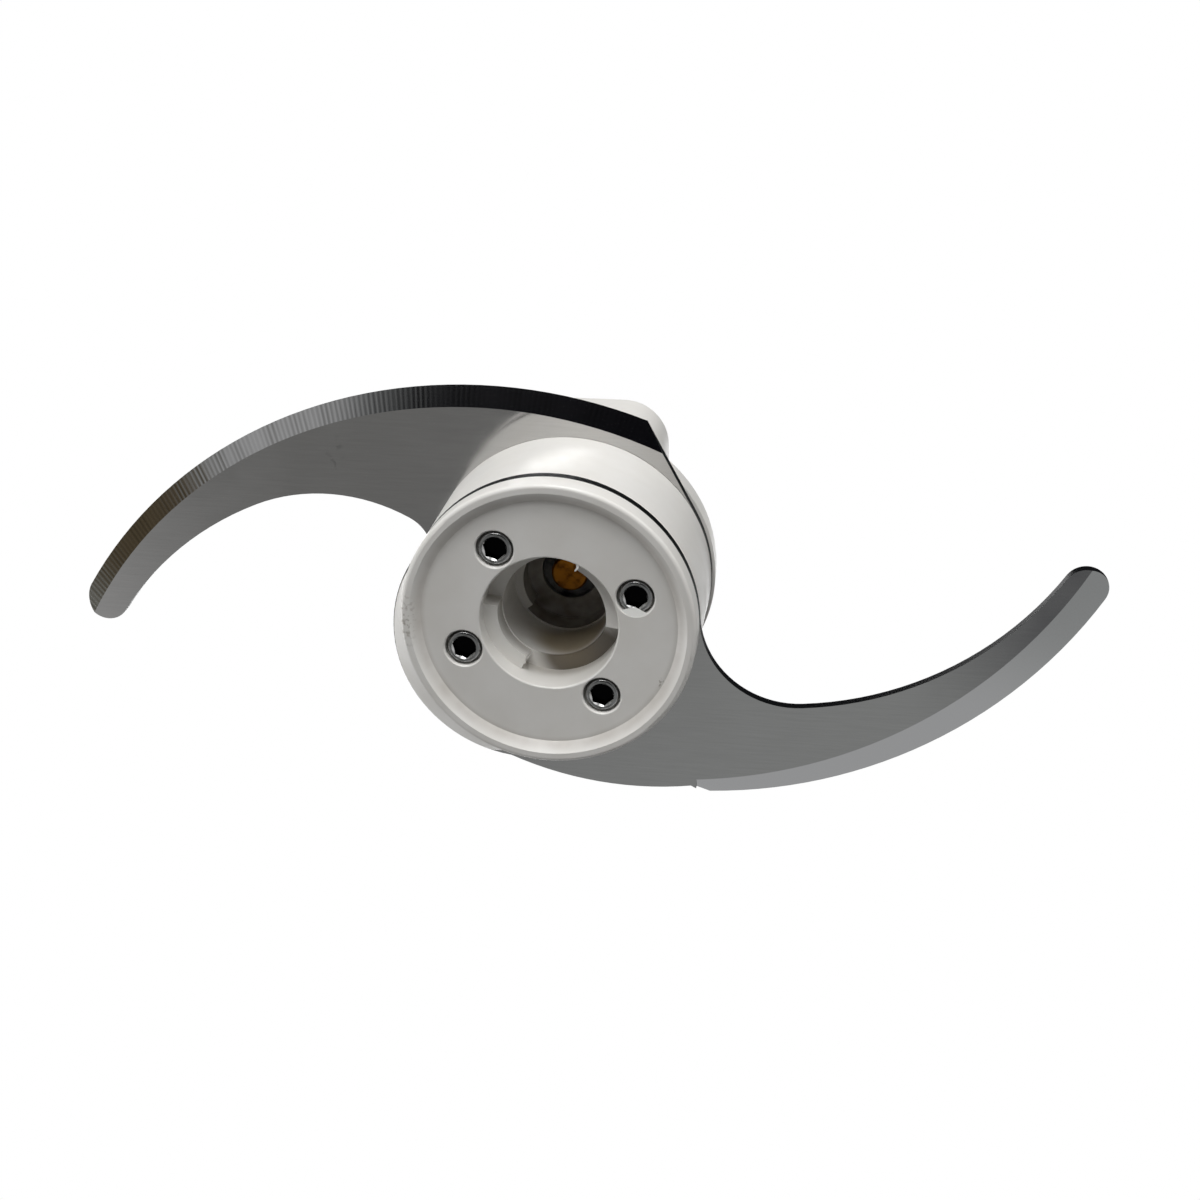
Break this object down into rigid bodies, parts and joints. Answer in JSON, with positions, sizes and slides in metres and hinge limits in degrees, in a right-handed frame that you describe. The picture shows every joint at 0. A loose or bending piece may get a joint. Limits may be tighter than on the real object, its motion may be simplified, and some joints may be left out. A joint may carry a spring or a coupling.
{
  "type": "food processor blade",
  "caption": "S-shaped food processor knife: curved steel blades with ground undersides, clamped at different heights on a white hub with a ramped drive socket.",
  "frame": {"origin": "On the shaft axis, in the plane of the rim at the drive end that the part stands on.", "axes": "+Z along the shaft axis from the drive end to the grip, +X towards the arm of the lower blade."},
  "size_m": [0.1996, 0.0711, 0.0556],
  "materials": {
    "white_acetal": "moulded, slightly dirty in the corners",
    "blade_steel": "fine brushed, with cross-ground bevels",
    "screw_steel": "bright turned",
    "brass": "turned, dulled"
  },
  "bodies": {
    "root": {"bottom_flange": "white_acetal", "lower_blade": "blade_steel", "spacer": "white_acetal", "upper_blade": "blade_steel", "top_hub": "white_acetal", "thrust_stud": "brass", "clamp_screw_1": "screw_steel", "clamp_screw_2": "screw_steel", "clamp_screw_3": "screw_steel", "clamp_screw_4": "screw_steel", "threaded_insert_1": "brass", "threaded_insert_2": "brass", "threaded_insert_3": "brass", "threaded_insert_4": "brass"}
  },
  "joints": []
}
